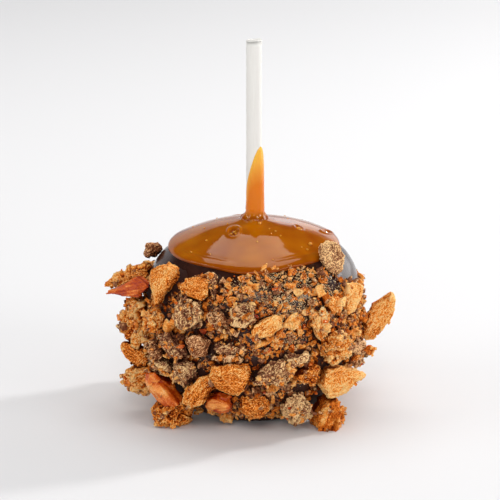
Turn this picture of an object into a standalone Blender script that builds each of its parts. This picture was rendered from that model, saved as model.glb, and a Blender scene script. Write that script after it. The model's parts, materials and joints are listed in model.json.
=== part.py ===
"""A caramel apple on a paper stick: an apple under a dark chocolate coat, a caramel cap
poured over its top and up the stick, and broken candy pressed on all round the sides.

The origin is the middle of the flat foot, +Z runs up the stick, and the front faces -Y.
Every size below is in millimetres; meshes are scaled to metres when they become objects.
"""

import math
import random
from collections import namedtuple

import bmesh
import bpy
from mathutils import Matrix, Vector
from mathutils.bvhtree import BVHTree

METRES = 0.001
GAP = 0.3  # left between pieces that touch

# The chocolate-coated apple, a turned shape with a flat foot
COAT_RADIUS = 41.5
COAT_WIDEST = 42.0  # height of its widest level
COAT_TOP = 71.0
SHOULDER_POWER = 2.55  # 2 is an ellipse, more is squarer
COAT_DEPTH = 46.5  # widest level down to where a full round underside would end
UNDERSIDE_POWER = 2.3
COAT_STEPS = 40  # facets round it
SHOULDER_STEPS = 10  # levels above and below the widest one
SIDE_STEPS = 8

# The apple isn't a perfect round: (times round, share of the radius, where it is fullest)
SWELLS = ((2, 0.010, -0.7), (3, 0.007, 1.2))
LEAN = 0.35  # one side stands this much higher
LEAN_TURN = 2.0  # the side, in radians round from the front

# The stick, set deep in the apple
STICK_RADIUS = 2.975
STICK_LENGTH = 114.0
STICK_TOP = 144.0
STICK_SIDES = 24

# The caramel cap: a shallow dome with a rounded rim, and a tongue drawn up the stick
CAP_TOP = 74.0
CAP_CURVE = 66.0  # radius of the dome's curve
CAP_EDGE = 30.6  # where the dome turns over into its rim
RIM_RADIUS = 33.2
RIM_HEIGHT = 64.2  # height of the rim's widest point
EDGE_ROUND = 1.6  # the rim is round from here up
COLLAR_TOP = 76.6  # where the collar's fillet meets the tongue
COLLAR_REACH = 5.0  # how far the fillet spreads over the dome
TONGUE_WALL = 0.6  # thickness on the tip's side, half of it on the other side
TONGUE_TIP = 26.6  # the tongue's height over the collar, at its tip and at its back
TONGUE_BACK = 6.0
TONGUE_TURN = 55.0  # the side that the tip is on, in degrees round from the front
TONGUE_POINT = 2.2  # how steeply its edges fall away from the tip
TONGUE_LEVELS = (0.85, 0.55, 0.25)
RIM_RUN = 1.6  # how much further the rim has run down at the front
RIM_RUN_TURN = -3.0
RIM_RUN_SPREAD = 21.0  # degrees
RIM_RIPPLE = 0.12
CAP_BED = 0.5  # between the cap and the coat
CAP_STEPS = 40
DOME_STEPS = 5

# Colours as linear red, green, blue, with roughness
DARK_CHOCOLATE = ((0.026, 0.012, 0.010), 0.42)
CARAMEL = ((0.48, 0.16, 0.020), 0.12)
PAPER = ((0.80, 0.78, 0.74), 0.60)
CHUNK_COLOURS = {
    "brittle": ((0.58, 0.24, 0.055), 0.80),
    "glazed": ((0.62, 0.17, 0.035), 0.38),
    "dusted": ((0.34, 0.19, 0.085), 0.85),
    "chocolate": ((0.15, 0.075, 0.045), 0.70),
}

# Each broken piece: where its middle lies (degrees round from the front, distance from
# the stick's axis, height), its width, length and thickness, the turn of its long axis
# (0 points its thin end down, 90 points it right), how much narrower that end is, its
# bend, its number of corners, and where its broad face looks (None: flat on the coat).
Chunk = namedtuple(
    "Chunk",
    "name kind turn reach rise width length thick roll taper bend corners look",
)
FRONT_CHUNKS = (
    Chunk("shoulder_knob", "chocolate", -101, 39.8, 60.0, 7.0, 7.2, 6.5, 10, 0.1, 0, 8, -60),
    Chunk("left_shelf", "dusted", -93, 47.0, 50.5, 7.0, 20.5, 9.0, -72, 0.3, 0, 8, -5),
    Chunk("left_wedge", "glazed", -77, 49.0, 49.6, 7.6, 18.5, 6.5, -76, 0.85, 0, 6, -20),
    Chunk("left_cone", "brittle", -53.5, 42.6, 56.2, 10.8, 17.2, 8.0, -6, 0.6, 0, 9, -38),
    Chunk("left_star", "brittle", -32, 40.4, 57.0, 14.4, 9.6, 3.4, 0, -0.1, 0, 7, None),
    Chunk("left_splinter", "dusted", -23, 38.9, 58.2, 4.2, 10.5, 3.2, 22, 0.3, 0, 6, None),
    Chunk("left_grey_lump", "dusted", -34, 44.3, 47.6, 12.6, 13.4, 6.6, 20, 0.1, 0, 8, None),
    Chunk("left_crumb_mass", "brittle", -82, 45.0, 34.8, 15.0, 21.0, 8.0, 0, -0.2, 0, 9, -38),
    Chunk("left_amber_lump", "brittle", -54, 46.6, 41.6, 8.4, 8.0, 5.2, 60, 0.2, 0, 7, None),
    Chunk("left_slab", "dusted", -43, 44.4, 34.6, 8.0, 13.4, 5.6, 62, 0.1, 0, 7, -30),
    Chunk("left_cube", "chocolate", -27, 45.2, 36.4, 9.6, 10.6, 7.0, 45, 0, 0, 6, None),
    Chunk("left_nib", "chocolate", -57, 44.2, 29.2, 8.4, 10.6, 6.0, 30, 0.1, 0, 7, -30),
    Chunk("left_ledge", "dusted", -54, 43.0, 23.4, 6.0, 13.4, 6.0, 72, 0.1, 0, 7, -30),
    Chunk("left_edge_shard", "brittle", -80, 45.8, 22.6, 7.6, 13.8, 7.0, 52, -0.1, 0, 8, -20),
    Chunk("left_olive_lump", "dusted", -38, 42.8, 23.2, 8.8, 12.6, 6.0, 6, 0.3, 0, 7, None),
    Chunk("left_knuckle", "brittle", -77, 43.6, 13.2, 15.0, 9.8, 10.0, 0, 0, 0, 9, -15),
    Chunk("left_sliver", "glazed", -52.5, 42.8, 13.6, 9.0, 19.6, 7.6, 47, 0.1, 0, 8, -30),
    Chunk("left_block", "brittle", -30, 41.8, 17.0, 7.8, 19.6, 6.6, -38, -0.1, 0, 7, -15),
    Chunk("front_fan", "brittle", -11, 44.6, 25.0, 17.0, 13.4, 8.0, 0, 0.25, 0, 9, None),
    Chunk("left_foot", "brittle", -51, 39.6, 6.2, 15.6, 13.0, 13.0, 35, 0.1, 0, 9, -30),
    Chunk("front_bud", "glazed", -20, 37.0, 11.6, 10.8, 9.4, 6.4, 0, 0.2, 0, 8, None),
    Chunk("front_heel", "dusted", 0, 37.6, 11.4, 11.8, 9.6, 6.6, 0, 0.15, 0, 8, None),
    Chunk("front_ball", "dusted", 25, 36.8, 8.4, 10.2, 11.8, 9.0, 5, 0.15, 0, 9, None),
    Chunk("right_foot", "glazed", 46.5, 39.2, 5.0, 15.6, 10.0, 11.0, 75, 0.1, 0, 9, 25),
    Chunk("right_fin", "brittle", 50, 43.4, 19.4, 12.8, 18.2, 7.6, 96, 0.7, 0, 8, 25),
    Chunk("right_nut", "chocolate", 68, 42.2, 26.2, 8.0, 9.0, 7.0, 0, 0, 0, 7, 30),
    Chunk("right_long_slab", "brittle", 88, 47.4, 35.6, 9.8, 21.6, 6.4, -26, 0.12, 0.03, 10, 0),
    Chunk("right_fan", "brittle", 60, 42.6, 49.4, 9.0, 13.8, 4.4, -14, 0.55, 0, 8, 40),
    Chunk("right_crisp", "brittle", 43, 43.6, 49.2, 7.2, 7.6, 4.2, 30, 0.2, 0, 7, None),
    Chunk("front_crescent", "brittle", 6, 44.0, 43.6, 7.6, 13.0, 3.4, -66, 0, -0.2, 9, None),
    Chunk("front_brown_lump", "dusted", -6, 43.6, 49.4, 11.6, 9.6, 5.0, 20, 0, 0, 8, None),
    Chunk("right_column", "brittle", 34, 44.0, 43.0, 9.2, 12.8, 4.8, 0, 0, 0, 8, None),
    Chunk("right_cluster", "brittle", 43, 44.6, 32.8, 12.4, 11.4, 6.6, 0, 0.1, 0, 9, None),
    Chunk("front_ledge", "dusted", 21, 43.8, 31.2, 4.8, 12.4, 4.2, 86, 0, 0, 6, None),
    Chunk("front_flake", "dusted", -12, 43.8, 36.0, 5.6, 11.0, 3.4, 88, 0.2, 0, 7, None),
    Chunk("front_rib", "chocolate", -13, 43.6, 31.6, 4.6, 14.0, 3.6, 84, 0, 0.08, 7, None),
    Chunk("front_fibre", "dusted", 10, 44.0, 26.4, 7.6, 15.4, 5.6, -66, 0.1, 0, 8, None),
    Chunk("front_triangle", "brittle", 29, 42.6, 23.8, 9.6, 8.6, 4.2, 20, 0.6, 0, 6, None),
    Chunk("rim_boulder", "dusted", 55, 35.2, 64.0, 10.4, 15.2, 6.4, 8, 0.15, 0, 8, 40),
    Chunk("front_strip", "chocolate", -15, 43.8, 45.6, 4.8, 13.6, 3.2, 60, 0.2, 0, 7, None),
)

# The side away from the front: rows of like pieces, each (height, count, degrees round
# from the front that it starts at)
BACK_ROWS = ((44.5, 4, 120.0), (34.0, 5, 108.0), (22.5, 4, 108.0), (10.5, 4, 108.0))
BACK_TO = 257.0  # degrees round from the front
BACK_RISE, BACK_RISE_TURN = 0.15, 192.0  # the rows rise this much towards this side
BACK_SHIFT = 2.0  # a piece lies up to this far over or under its row
BACK_WIDTH = (9.0, 14.0)
BACK_LENGTH = (11.0, 19.0)
BACK_THICK = (5.5, 9.0)
BACK_KINDS = ("brittle", "brittle", "dusted", "brittle", "chocolate", "brittle", "glazed")
ON_EDGE_LOOK = 38.0  # a piece standing on its edge is turned away by this
BACK_SEED = 11

# How a broken piece is roughed out, as shares of its half sizes
CHUNK_BEVEL = 0.32
CORNER_RANGE = (0.84, 1.12)
FACE_RANGE = (0.86, 1.14)
TAPER_FROM = 0.2  # the level along its length that keeps its width


def coat_height(radius):
    """Height of the coat's top side at a distance from the axis."""
    inside = max(0.0, 1 - (radius / COAT_RADIUS) ** SHOULDER_POWER)
    return COAT_WIDEST + (COAT_TOP - COAT_WIDEST) * inside ** (1 / SHOULDER_POWER)


def coat_radius(height):
    """Distance of the coat's surface from the axis at a height."""
    if height > COAT_WIDEST:
        part, power = (height - COAT_WIDEST) / (COAT_TOP - COAT_WIDEST), SHOULDER_POWER
    else:
        part, power = (COAT_WIDEST - height) / COAT_DEPTH, UNDERSIDE_POWER
    return COAT_RADIUS * max(0.0, 1 - part**power) ** (1 / power)


def coat_outline(grow=0.0):
    """The coat's outer side as (radius, height), from the top down, moved out by grow."""
    points = []
    for step in range(1, SHOULDER_STEPS + 1):
        angle = math.pi / 2 * step / SHOULDER_STEPS
        radius = COAT_RADIUS * math.sin(angle) ** (2 / SHOULDER_POWER)
        points.append((radius, coat_height(radius)))
    for step in range(1, SIDE_STEPS + 1):
        height = COAT_WIDEST * (1 - step / SIDE_STEPS)
        points.append((coat_radius(height), height))
    grown = []
    for radius, height in points:
        out = math.atan2(height - COAT_WIDEST, radius)
        grown.append((radius + grow * math.cos(out), height + grow * math.sin(out)))
    return grown


def cap_height(radius):
    """Height of the caramel dome at a distance from the axis."""
    return CAP_TOP - radius**2 / (2 * CAP_CURVE)


def smooth(low, high, value):
    part = min(1.0, max(0.0, (value - low) / (high - low)))
    return part * part * (3 - 2 * part)


def round_about(point):
    """Degrees round from the front, towards +X."""
    return math.degrees(math.atan2(point.x, -point.y))


def uneven(point):
    """Moves a point of the turned shapes out of the true round, but not near the stick
    or at the flat foot."""
    turn = math.radians(round_about(point))
    away = smooth(8, 30, point.xy.length) * smooth(0, 12, point.z)
    swell = sum(share * math.cos(times * turn - full) for times, share, full in SWELLS)
    point.xy *= 1 + away * swell
    point.z += away * LEAN * math.cos(turn - LEAN_TURN)


def run_down(point):
    """Slides the cap's rim down the shoulder, most of all at the front."""
    radius = point.xy.length
    turn = round_about(point)
    beside = (turn - RIM_RUN_TURN) / RIM_RUN_SPREAD
    run = RIM_RIPPLE * math.sin(5 * math.radians(turn)) + RIM_RUN * math.exp(-(beside**2))
    further = radius + run * smooth(20, RIM_RADIUS, radius)
    point.z += coat_height(further) - coat_height(radius)
    point.xy *= further / radius


def shape_tongue(point):
    """Turns the plain sleeve round the stick into a flame with its tip on one side."""
    away = abs((round_about(point) - TONGUE_TURN + 180) % 360 - 180)
    near = 1 - (away / 180) ** 2
    inner = STICK_RADIUS + GAP
    if inner + GAP / 2 < point.xy.length < inner + TONGUE_WALL + COLLAR_REACH:
        point.xy *= 1 - TONGUE_WALL / 2 * (1 - near) / point.xy.length
    if point.z > COLLAR_TOP:
        reach = TONGUE_BACK + (TONGUE_TIP - TONGUE_BACK) * near**TONGUE_POINT
        point.z = COLLAR_TOP + (point.z - COLLAR_TOP) * reach / TONGUE_TIP


def turned(outline, steps, closed=False):
    """A bmesh of an outline of (radius, height) points turned round the Z axis."""
    mesh = bpy.data.meshes.new("outline")
    links = [(i, i + 1) for i in range(len(outline) - 1)]
    if closed:
        links.append((len(outline) - 1, 0))
    mesh.from_pydata([(radius, 0, height) for radius, height in outline], links, [])
    lathe = bpy.data.objects.new("lathe", mesh)
    bpy.context.scene.collection.objects.link(lathe)
    screw = lathe.modifiers.new("turn", "SCREW")
    screw.steps = screw.render_steps = steps
    screw.use_merge_vertices = True
    screw.merge_threshold = 0.0001
    bpy.context.view_layer.update()
    graph = bpy.context.evaluated_depsgraph_get()
    solid = bmesh.new()
    solid.from_mesh(lathe.evaluated_get(graph).to_mesh())
    bpy.data.objects.remove(lathe)
    bmesh.ops.remove_doubles(solid, verts=solid.verts, dist=1e-4)
    bmesh.ops.recalc_face_normals(solid, faces=solid.faces)
    return solid


def apple():
    """The coated apple, whole, with a blind hole for the stick."""
    hole = STICK_RADIUS + GAP
    floor = STICK_TOP - STICK_LENGTH - GAP
    bore = [(0, floor), (hole, floor), (hole, coat_height(hole))]
    solid = turned([*bore, *coat_outline(), (0, 0)], COAT_STEPS)
    for vert in solid.verts:
        uneven(vert.co)
    return solid


def steps_between(start, end):
    """Even steps from one radius to another, without the first."""
    return [start + (end - start) * step / DOME_STEPS for step in range(1, DOME_STEPS + 1)]


def caramel():
    """The cap and its tongue as one closed ring round the stick."""
    inner = STICK_RADIUS + GAP
    outer = inner + TONGUE_WALL
    outline = [(outer - GAP / 2, COLLAR_TOP + TONGUE_TIP)]
    outline += [(outer, COLLAR_TOP + TONGUE_TIP * part) for part in TONGUE_LEVELS]
    quarter = [math.pi / 2 * step / 3 for step in range(4)]
    for angle in quarter:  # the collar's fillet
        radius = outer + COLLAR_REACH * (1 - math.cos(angle))
        height = cap_height(radius)
        height += (COLLAR_TOP - height) * (1 - math.sin(angle))
        outline.append((radius, height))
    for radius in steps_between(outer + COLLAR_REACH, CAP_EDGE):
        outline.append((radius, cap_height(radius)))
    edge_drop = cap_height(CAP_EDGE) - RIM_HEIGHT
    for angle in quarter[1:]:  # the rounded rim
        radius = CAP_EDGE + (RIM_RADIUS - CAP_EDGE) * math.sin(angle)
        outline.append((radius, RIM_HEIGHT + edge_drop * math.cos(angle)))
    for radius in steps_between(RIM_RADIUS, inner):
        outline.append((radius, coat_height(radius) + CAP_BED))
    outline += [(inner, COLLAR_TOP), (inner, COLLAR_TOP + TONGUE_TIP)]
    solid = turned(outline, CAP_STEPS, closed=True)
    for vert in solid.verts:
        shape_tongue(vert.co)
        run_down(vert.co)
        uneven(vert.co)
    return solid


def stick():
    solid = bmesh.new()
    middle = Matrix.Translation((0, 0, STICK_TOP - STICK_LENGTH / 2))
    bmesh.ops.create_cone(
        solid,
        cap_ends=True,
        segments=STICK_SIDES,
        radius1=STICK_RADIUS,
        radius2=STICK_RADIUS,
        depth=STICK_LENGTH,
        matrix=middle,
    )
    return solid


def room_for_candy():
    """The coat and the cap's rim, grown by the gap: what every candy piece is cut by."""
    outline = [(0, CAP_TOP + GAP)]
    for radius in steps_between(0, CAP_EDGE):
        outline.append((radius, cap_height(radius) + GAP))
    outline += [(RIM_RADIUS, RIM_HEIGHT + EDGE_ROUND), (RIM_RADIUS + GAP, RIM_HEIGHT)]
    cap_points = len(outline)
    outline += [point for point in coat_outline(CAP_BED) if point[1] < RIM_HEIGHT - 1]
    outline += [(outline[-1][0], -COAT_WIDEST), (0, -COAT_WIDEST)]
    solid = turned(outline, COAT_STEPS)
    cap_foot = outline[cap_points - 1][1]
    for vert in solid.verts:
        if vert.co.z >= cap_foot and vert.co.xy.length > GAP:
            run_down(vert.co)
        uneven(vert.co)
    return solid


def facing(chunk):
    """The direction that a piece's broad face looks in."""
    if chunk.look is None:
        fall = coat_radius(chunk.rise - 0.5) - coat_radius(chunk.rise + 0.5)
        turn, pitch = math.radians(chunk.turn), math.atan(fall)
    else:
        turn, pitch = math.radians(chunk.look), 0.0
    across = math.cos(pitch)
    return Vector((math.sin(turn) * across, -math.cos(turn) * across, math.sin(pitch)))


def chunk_solid(chunk):
    """A flat-faced broken piece: a bevelled prism with uneven corners."""
    draw = random.Random(chunk.name)
    solid = bmesh.new()
    bmesh.ops.create_cone(
        solid, cap_ends=True, segments=chunk.corners, radius1=1, radius2=1, depth=2
    )
    rims = [edge for edge in solid.edges if abs(edge.verts[0].co.z - edge.verts[1].co.z) < 0.1]
    bmesh.ops.bevel(solid, geom=rims, offset=CHUNK_BEVEL, segments=1, affect="EDGES")
    caps = [face for face in solid.faces if len(face.verts) == chunk.corners]
    bmesh.ops.poke(solid, faces=caps)
    corner = [draw.uniform(*CORNER_RANGE) for _ in range(chunk.corners)]
    for vert in solid.verts:
        place = math.atan2(vert.co.y, vert.co.x) / (2 * math.pi) * chunk.corners
        vert.co.xy *= corner[round(place) % chunk.corners]
        end = vert.co.y
        vert.co.x *= 1 + chunk.taper * (end - TAPER_FROM)
        vert.co.x += chunk.bend * 2 * end * end
        vert.co.x *= chunk.width / 2
        vert.co.y *= chunk.length / 2
        vert.co.z *= chunk.thick / 2 * draw.uniform(*FACE_RANGE)
    look = facing(chunk)
    right = Vector((0, 0, 1)).cross(look).normalized()
    frame = Matrix((right, look.cross(right), look)).transposed().to_4x4()
    turn = math.radians(chunk.turn)
    middle = Vector((chunk.reach * math.sin(turn), -chunk.reach * math.cos(turn), chunk.rise))
    spin = Matrix.Rotation(math.radians(chunk.roll), 4, "Z")
    solid.transform(Matrix.Translation(middle) @ frame @ spin)
    return solid


def back_chunks():
    """The pieces on the side away from the front, of the same kinds and sizes."""
    draw = random.Random(BACK_SEED)
    pieces = []
    for row, (height, count, start) in enumerate(BACK_ROWS):
        for place in range(count):
            part = (place + 0.5 + draw.uniform(-0.16, 0.16)) / count
            turn = start + (BACK_TO - start) * part
            rise = height * (1 + BACK_RISE * math.cos(2 * math.radians(turn - BACK_RISE_TURN)))
            rise += draw.uniform(-BACK_SHIFT, BACK_SHIFT)
            thick = draw.uniform(*BACK_THICK)
            on_edge = place % 3 == row % 3
            piece = Chunk(
                name=f"back_piece_{len(pieces) + 1:02d}",
                kind=BACK_KINDS[len(pieces) % len(BACK_KINDS)],
                turn=turn,
                reach=coat_radius(rise) + thick * (0.62 if on_edge else 0.42),
                rise=rise,
                width=draw.uniform(*BACK_WIDTH),
                length=draw.uniform(*BACK_LENGTH),
                thick=thick,
                roll=draw.uniform(-80, 80),
                taper=draw.uniform(0.0, 0.6),
                bend=draw.uniform(-0.06, 0.06),
                corners=draw.choice((7, 8, 9)),
                look=turn + ON_EDGE_LOOK if on_edge else None,
            )
            pieces.append(piece)
    return pieces


def cut_away(solid, point, direction):
    """Takes off what lies beyond a plane, and closes the cut."""
    cut = bmesh.ops.bisect_plane(
        solid,
        geom=solid.verts[:] + solid.edges[:] + solid.faces[:],
        dist=1e-4,
        plane_co=point,
        plane_no=direction,
        clear_outer=True,
    )
    rim = [part for part in cut["geom_cut"] if isinstance(part, bmesh.types.BMEdge)]
    if rim:
        bmesh.ops.holes_fill(solid, edges=rim, sides=0)
        bmesh.ops.recalc_face_normals(solid, faces=solid.faces)


def part_neighbours(solids, middles):
    """Where two pieces would run into each other, both are trimmed back to a plane."""
    for i, first in enumerate(solids):
        for j in range(i + 1, len(solids)):
            second = solids[j]
            if not BVHTree.FromBMesh(first).overlap(BVHTree.FromBMesh(second)):
                continue
            start, along = middles[i], (middles[j] - middles[i]).normalized()
            first_end = max((vert.co - start).dot(along) for vert in first.verts)
            second_end = min((vert.co - start).dot(along) for vert in second.verts)
            meet = (first_end + second_end) / 2
            cut_away(first, start + along * (meet - GAP / 2), along)
            cut_away(second, start + along * (meet + GAP / 2), -along)


def material(name, colour, roughness):
    made = bpy.data.materials.new(name)
    made.use_nodes = True
    shader = made.node_tree.nodes["Principled BSDF"]
    shader.inputs["Base Color"].default_value = (*colour, 1)
    shader.inputs["Roughness"].default_value = roughness
    shader.inputs["Metallic"].default_value = 0
    return made


def add_object(name, solid, made_of, collection):
    """Makes an object in metres of a bmesh in millimetres."""
    bmesh.ops.scale(solid, vec=(METRES,) * 3, verts=solid.verts)
    mesh = bpy.data.meshes.new(name)
    solid.to_mesh(mesh)
    solid.free()
    mesh.materials.append(made_of)
    mesh.shade_smooth()
    mesh.set_sharp_from_angle(angle=math.radians(30))
    made = bpy.data.objects.new(name, mesh)
    collection.objects.link(made)
    return made


def build():
    for old in list(bpy.data.objects):
        bpy.data.objects.remove(old)
    parts = bpy.data.collections.new("caramel_apple")
    cutters = bpy.data.collections.new("cutters")
    bpy.context.scene.collection.children.link(parts)
    bpy.context.scene.collection.children.link(cutters)

    add_object("chocolate_coat", apple(), material("chocolate_coat", *DARK_CHOCOLATE), parts)
    add_object("caramel_cap", caramel(), material("caramel", *CARAMEL), parts)
    rod = add_object("stick", stick(), material("paper", *PAPER), parts)
    edge = rod.modifiers.new("cut ends", "BEVEL")
    edge.width = 0.25 * METRES
    edge.segments = 1

    clear = material("clear", (0.5, 0.5, 0.5), 0.5)
    room = add_object("room_for_candy", room_for_candy(), clear, cutters)
    room.hide_render = True
    room.display_type = "WIRE"

    chunks = [*FRONT_CHUNKS, *back_chunks()]
    solids = [chunk_solid(chunk) for chunk in chunks]
    middles = []
    for solid in solids:
        cut_away(solid, Vector((0, 0, 0)), Vector((0, 0, -1)))
        middles.append(sum((vert.co for vert in solid.verts), Vector()) / len(solid.verts))
    part_neighbours(solids, middles)
    finishes = {kind: material(kind, *looks) for kind, looks in CHUNK_COLOURS.items()}
    for chunk, solid in zip(chunks, solids):
        piece = add_object(chunk.name, solid, finishes[chunk.kind], parts)
        fit = piece.modifiers.new("seat in the coat", "BOOLEAN")
        fit.operation = "DIFFERENCE"
        fit.object = room


build()
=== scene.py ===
"""A caramel apple on a paper stick. An apple is dipped in dark chocolate, topped with a pour
of caramel that runs up the stick, and rolled in broken orange brittle and chocolate bits.

Lengths are in millimetres until a mesh is made. +Z runs up the stick and the front faces -Y.
"""

import itertools
import json
import math
import random

import bmesh
import bpy
import numpy as np
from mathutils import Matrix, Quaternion, Vector
from mathutils.bvhtree import BVHTree


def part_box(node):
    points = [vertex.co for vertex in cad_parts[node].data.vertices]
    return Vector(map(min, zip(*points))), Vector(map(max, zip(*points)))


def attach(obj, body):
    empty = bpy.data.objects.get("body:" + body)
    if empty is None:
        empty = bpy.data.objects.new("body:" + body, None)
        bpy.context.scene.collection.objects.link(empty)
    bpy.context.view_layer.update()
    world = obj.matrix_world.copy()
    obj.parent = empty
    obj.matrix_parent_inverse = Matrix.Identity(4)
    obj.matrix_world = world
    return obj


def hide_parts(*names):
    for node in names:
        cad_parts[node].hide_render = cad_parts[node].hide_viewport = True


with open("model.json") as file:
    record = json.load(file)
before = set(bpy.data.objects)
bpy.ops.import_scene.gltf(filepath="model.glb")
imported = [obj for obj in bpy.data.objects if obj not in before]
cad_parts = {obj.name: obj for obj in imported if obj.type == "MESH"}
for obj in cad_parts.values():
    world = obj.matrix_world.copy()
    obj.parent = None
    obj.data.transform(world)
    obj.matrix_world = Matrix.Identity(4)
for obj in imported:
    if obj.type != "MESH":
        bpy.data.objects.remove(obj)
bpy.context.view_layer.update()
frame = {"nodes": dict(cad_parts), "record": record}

# ---- The stick -------------------------------------------------------------------------
# A rolled paper stick, pushed into the apple before it is dipped. The paper is wound tight,
# glued and cut across, so that its upper end shows the turns of the roll.
MM = 0.001
STICK_RADIUS = 2.975
STICK_SIDES = 72
STICK_WHITE = (0.765, 0.755, 0.718)
STICK_SHADE = (0.735, 0.72, 0.68)
# Its top end: how far down and in the edge is worn, and how deep the turns of the roll show
EDGE_DOWN = 0.35
EDGE_IN = 0.22
ROLL_TURNS = 4.5
ROLL_DEPTH = 0.10


def skin(rows):
    """The faces between rings of points, given as an array of rings by points by 3."""
    rings, sides = rows.shape[:2]
    index = np.arange(rings * sides).reshape(rings, sides)
    after = np.roll(index, -1, axis=1)
    faces = np.stack([index[:-1], index[1:], after[1:], after[:-1]], axis=-1)
    return rows.reshape(-1, 3), faces.reshape(-1, 4)


def rings_of(outline, sides):
    """An outline of (radius, height) points turned round the stick's axis."""
    turns = np.linspace(0, 2 * math.pi, sides, endpoint=False)
    radius = outline[:, :1]
    x = radius * np.sin(turns)
    y = -radius * np.cos(turns)
    z = np.broadcast_to(outline[:, 1:], x.shape)
    return np.stack([x, y, z], axis=-1)


def turn_of(points):
    """Radians round from the front, towards +X."""
    return np.arctan2(points[..., 0], -points[..., 1])


def reach_of(points):
    """Distance from the stick's axis."""
    return np.hypot(points[..., 0], points[..., 1])


def show(thing):
    bpy.context.scene.collection.objects.link(thing)


def add_piece(name, points, faces, finish, slot, stands_for=(), crisp=False, **marks):
    """Makes a mesh piece of points in mm. Each mark is a number kept at every point."""
    mesh = bpy.data.meshes.new(name)
    mesh.from_pydata((points * MM).tolist(), [], faces.tolist())
    for mark, values in marks.items():
        kept = mesh.attributes.new(mark, "FLOAT", "POINT")
        kept.data.foreach_set("value", np.asarray(values, np.float32))
    solid = bmesh.new()
    solid.from_mesh(mesh)
    bmesh.ops.remove_doubles(solid, verts=solid.verts, dist=0.0005 * MM)
    solid.to_mesh(mesh)
    solid.free()
    if crisp:
        mesh.shade_flat()
    else:
        mesh.shade_smooth()
    mesh.materials.append(finish)
    piece = bpy.data.objects.new(name, mesh)
    show(piece)
    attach(piece, "root")
    if stands_for:
        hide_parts(*stands_for)
    return piece


def new_finish(name, **settings):
    """A Principled material with these settings on its shader, its node tree and shader."""
    finish = bpy.data.materials.new(name)
    finish.use_nodes = True
    tree = finish.node_tree
    shader = tree.nodes["Principled BSDF"]
    for socket, value in settings.items():
        shader.inputs[socket.replace("_", " ")].default_value = value
    return finish, tree, shader


def add_node(tree, kind, inputs=(), **settings):
    """A node with settings, and inputs as socket: value, or socket: another node's output."""
    node = tree.nodes.new("ShaderNode" + kind)
    for name, value in settings.items():
        setattr(node, name, value)
    for socket, value in dict(inputs).items():
        if isinstance(value, bpy.types.NodeSocket):
            tree.links.new(value, node.inputs[socket])
        else:
            node.inputs[socket].default_value = value
    return node


def mark_node(tree, mark):
    """The number that a mark keeps at every point."""
    return add_node(tree, "Attribute", attribute_name=mark).outputs["Fac"]


def math_node(tree, operation, *inputs, clamp=False):
    return add_node(tree, "Math", enumerate(inputs), operation=operation, use_clamp=clamp).outputs[0]


def blend_node(tree, factor, first, second):
    """The first colour where the factor is 0, the second where it is 1."""
    inputs = {"Factor": factor, "A": first, "B": second}
    return add_node(tree, "Mix", inputs, data_type="RGBA").outputs["Result"]


def noise_node(tree, size, detail, roughness=0.55, stretch=(1, 1, 1)):
    """Shader noise whose waves are size mm long, times stretch along each axis."""
    place = add_node(tree, "TexCoord").outputs["Object"]
    scale = tuple(1 / (MM * size * long) for long in stretch)
    scaled = add_node(tree, "Mapping", {"Vector": place, "Scale": scale})
    inputs = {"Vector": scaled.outputs["Vector"], "Scale": 1.0, "Detail": detail, "Roughness": roughness}
    return add_node(tree, "TexNoise", inputs).outputs["Fac"]


def ramp_node(tree, factor, stops):
    """A colour ramp of (position, colour) stops."""
    ramp = add_node(tree, "ValToRGB", {"Fac": factor})
    elements = ramp.color_ramp.elements
    while len(elements) < len(stops):
        elements.new(0.5)
    for element, (position, colour) in zip(elements, stops):
        element.position = position
        element.color = (*colour, 1)
    return ramp.outputs["Color"]


def bump(tree, shader, height, distance):
    """Fine relief under the size of the mesh, distance in mm."""
    node = add_node(tree, "Bump", {"Height": height, "Distance": distance * MM, "Strength": 1.0})
    tree.links.new(node.outputs["Normal"], shader.inputs["Normal"])


def bell(value, middle, width):
    """A soft rise to 1 at the middle."""
    return np.exp(-(((value - middle) / width) ** 2))


def stick_rings():
    """Up the side, over the worn cut edge, and in across the end of the roll."""
    low, high = (corner.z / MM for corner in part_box("stick"))
    side = [(STICK_RADIUS, height) for height in np.linspace(low, high - EDGE_DOWN, 60)]
    edge = []
    for angle in np.linspace(0.2, math.pi / 2, 6):
        worn_in = EDGE_IN * (1 - math.cos(angle))
        edge.append((STICK_RADIUS - worn_in, high - EDGE_DOWN + 0.33 * math.sin(angle)))
    face = [(radius, high - 0.03) for radius in np.linspace(STICK_RADIUS - 0.3, 0.0, 40)]
    rows = rings_of(np.array([(0.0, low), *side, *edge, *face]), STICK_SIDES)
    turn = turn_of(rows)
    radius = reach_of(rows)
    on_end = rows[..., 2] > high - 0.3
    wound = np.cos(2 * math.pi * (radius / STICK_RADIUS * ROLL_TURNS) - turn)
    rows[..., 2] += np.where(on_end, ROLL_DEPTH * wound * (radius > 0.4) - ROLL_DEPTH / 2, 0)
    uneven_cut = 0.16 * np.sin(turn + 0.6) + 0.09 * np.sin(3 * turn + 1)
    rows[..., 2] += np.where(rows[..., 2] > high - 0.6, uneven_cut * radius / STICK_RADIUS, 0)
    seam = bell(turn - 0.02 * rows[..., 2], -1.0, 0.10)
    rows[..., :2] *= (1 - 0.012 * seam)[..., None]
    return rows


paper, tree, shader = new_finish("white_paper", Roughness=0.55, Specular_IOR_Level=0.35)
fibres = noise_node(tree, 0.5, detail=4, stretch=(1, 1, 14))
fibre_white = ramp_node(tree, fibres, ((0.25, STICK_SHADE), (0.6, STICK_WHITE)))
tree.links.new(fibre_white, shader.inputs["Base Color"])
bump(tree, shader, fibres, 0.04)
stick = add_piece("paper_stick", *skin(stick_rings()), paper, "paper", ["stick"])
# The caramel's skin is too soft and wavy to show a sharp image of the stick
stick.visible_glossy = False

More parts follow.
